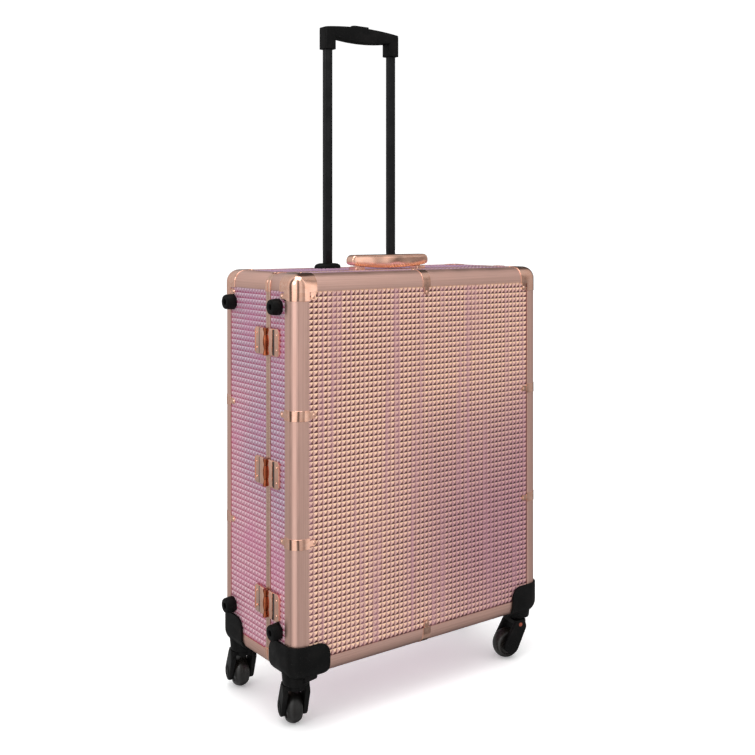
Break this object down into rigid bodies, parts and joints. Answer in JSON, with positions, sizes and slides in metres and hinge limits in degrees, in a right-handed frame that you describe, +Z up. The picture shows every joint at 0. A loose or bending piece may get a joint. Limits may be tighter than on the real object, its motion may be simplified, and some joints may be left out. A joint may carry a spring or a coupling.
{
  "type": "trolley makeup train case",
  "caption": "Hard trolley case for make-up: studded, metal-edged shells hinged at one side, pull-out handle, carry handle and swivel casters.",
  "frame": {"origin": "on the floor, under the middle of the whole object", "axes": "+Z up, +Y to the case's back (the trolley handle's side), +X to the latch side; the hinges are at -X and the lid faces -Y"},
  "size_m": [0.5491, 0.2492, 1.1383],
  "materials": {
    "satin_metal": "satin rose-gold anodised profile with fine lines along it",
    "polished_metal": "polished rose-gold plating",
    "studded_sheet": "sheet pressed into rows of small pyramids, with an iridescent pink film",
    "black_plastic": "satin moulded",
    "black_tube": "smooth black coat",
    "wheel_rubber": "smooth, slightly glossy",
    "steel": "plain",
    "mirror_glass": "silvered glass"
  },
  "bodies": {
    "case_body": {"back_panel": "studded_sheet", "body_wall_left": "studded_sheet", "body_wall_right": "studded_sheet", "body_wall_top": "studded_sheet", "body_wall_bottom": "studded_sheet", "body_frame": "satin_metal", "body_rim": "satin_metal", "caster_bracket_rear_left": "black_plastic", "caster_bracket_rear_right": "black_plastic", "side_foot_upper_rear": "black_plastic", "side_foot_lower_rear": "black_plastic", "handle_housing": "steel", "handle_collar_left": "black_plastic", "handle_collar_right": "black_plastic", "carry_bracket_left": "polished_metal", "carry_bracket_right": "polished_metal", "hinge_body_leaf_1": "polished_metal", "hinge_body_leaf_2": "polished_metal", "hinge_body_leaf_3": "polished_metal", "hinge_pin_1": "steel", "hinge_pin_2": "steel", "hinge_pin_3": "steel", "latch_base_upper": "polished_metal", "latch_base_lower": "polished_metal"},
    "lid": {"front_panel": "studded_sheet", "lid_wall_left": "studded_sheet", "lid_wall_right": "studded_sheet", "lid_wall_top": "studded_sheet", "lid_wall_bottom": "studded_sheet", "lid_frame": "satin_metal", "lid_rim": "satin_metal", "caster_bracket_front_left": "black_plastic", "caster_bracket_front_right": "black_plastic", "side_foot_upper_front": "black_plastic", "side_foot_lower_front": "black_plastic", "hinge_lid_leaf_1": "polished_metal", "hinge_lid_leaf_2": "polished_metal", "hinge_lid_leaf_3": "polished_metal", "latch_strike_upper": "polished_metal", "latch_strike_lower": "polished_metal", "mirror": "mirror_glass"},
    "trolley": {"handle_tube_left": "black_tube", "handle_tube_right": "black_tube", "handle_grip": "black_plastic"},
    "button": {"release_button": "black_plastic"},
    "carry_handle": {"carry_handle": "polished_metal"},
    "latch_upper": {"latch_lever_upper": "polished_metal"},
    "latch_lower": {"latch_lever_lower": "polished_metal"},
    "swivel_front_left": {"fork_front_left": "black_plastic", "axle_front_left": "steel"},
    "wheel_front_left": {"wheel_front_left": "wheel_rubber"},
    "swivel_front_right": {"fork_front_right": "black_plastic", "axle_front_right": "steel"},
    "wheel_front_right": {"wheel_front_right": "wheel_rubber"},
    "swivel_rear_left": {"fork_rear_left": "black_plastic", "axle_rear_left": "steel"},
    "wheel_rear_left": {"wheel_rear_left": "wheel_rubber"},
    "swivel_rear_right": {"fork_rear_right": "black_plastic", "axle_rear_right": "steel"},
    "wheel_rear_right": {"wheel_rear_right": "wheel_rubber"}
  },
  "joints": [
    {"name": "lid_hinge", "type": "hinge", "parent": "case_body", "child": "lid", "pos_m": [-0.2635, -0.0395, 0.3945], "axis": [0, 0, -1], "range_deg": [0, 110]},
    {"name": "trolley_slide", "type": "slide", "parent": "case_body", "child": "trolley", "axis": [0, 0, 1], "range_m": [-0.37, 0]},
    {"name": "button_press", "type": "slide", "parent": "trolley", "child": "button", "axis": [0, 0, -1], "range_m": [0, 0.003], "stiffness_N_per_m": 600, "springref_m": -0.003},
    {"name": "carry_handle_lift", "type": "slide", "parent": "case_body", "child": "carry_handle", "axis": [0, 0, 1], "range_m": [0, 0.022]},
    {"name": "latch_upper_swing", "type": "hinge", "parent": "case_body", "child": "latch_upper", "pos_m": [0.265, -0.0175, 0.5195], "axis": [0, 0, 1], "range_deg": [0, 110]},
    {"name": "latch_lower_swing", "type": "hinge", "parent": "case_body", "child": "latch_lower", "pos_m": [0.265, -0.0175, 0.2695], "axis": [0, 0, 1], "range_deg": [0, 110]},
    {"name": "swivel_front_left_turn", "type": "hinge", "parent": "lid", "child": "swivel_front_left", "pos_m": [-0.2365, -0.087, 0.0705], "axis": [0, 0, 1], "continuous": true},
    {"name": "wheel_front_left_spin", "type": "hinge", "parent": "swivel_front_left", "child": "wheel_front_left", "pos_m": [-0.22849, -0.06438, 0.026], "axis": [-0.9426, 0.3338, 0], "continuous": true},
    {"name": "swivel_front_right_turn", "type": "hinge", "parent": "lid", "child": "swivel_front_right", "pos_m": [0.2365, -0.087, 0.0705], "axis": [0, 0, 1], "continuous": true},
    {"name": "wheel_front_right_spin", "type": "hinge", "parent": "swivel_front_right", "child": "wheel_front_right", "pos_m": [0.2129, -0.08263, 0.026], "axis": [-0.1822, -0.9833, 0], "continuous": true},
    {"name": "swivel_rear_left_turn", "type": "hinge", "parent": "case_body", "child": "swivel_rear_left", "pos_m": [-0.2365, 0.079, 0.0705], "axis": [0, 0, 1], "continuous": true},
    {"name": "wheel_rear_left_spin", "type": "hinge", "parent": "swivel_rear_left", "child": "wheel_rear_left", "pos_m": [-0.23049, 0.10224, 0.026], "axis": [-0.9681, 0.2504, 0], "continuous": true},
    {"name": "swivel_rear_right_turn", "type": "hinge", "parent": "case_body", "child": "swivel_rear_right", "pos_m": [0.2365, 0.079, 0.0705], "axis": [0, 0, 1], "continuous": true},
    {"name": "wheel_rear_right_spin", "type": "hinge", "parent": "swivel_rear_right", "child": "wheel_rear_right", "pos_m": [0.24777, 0.10019, 0.026], "axis": [-0.8829, 0.4695, 0], "continuous": true}
  ]
}
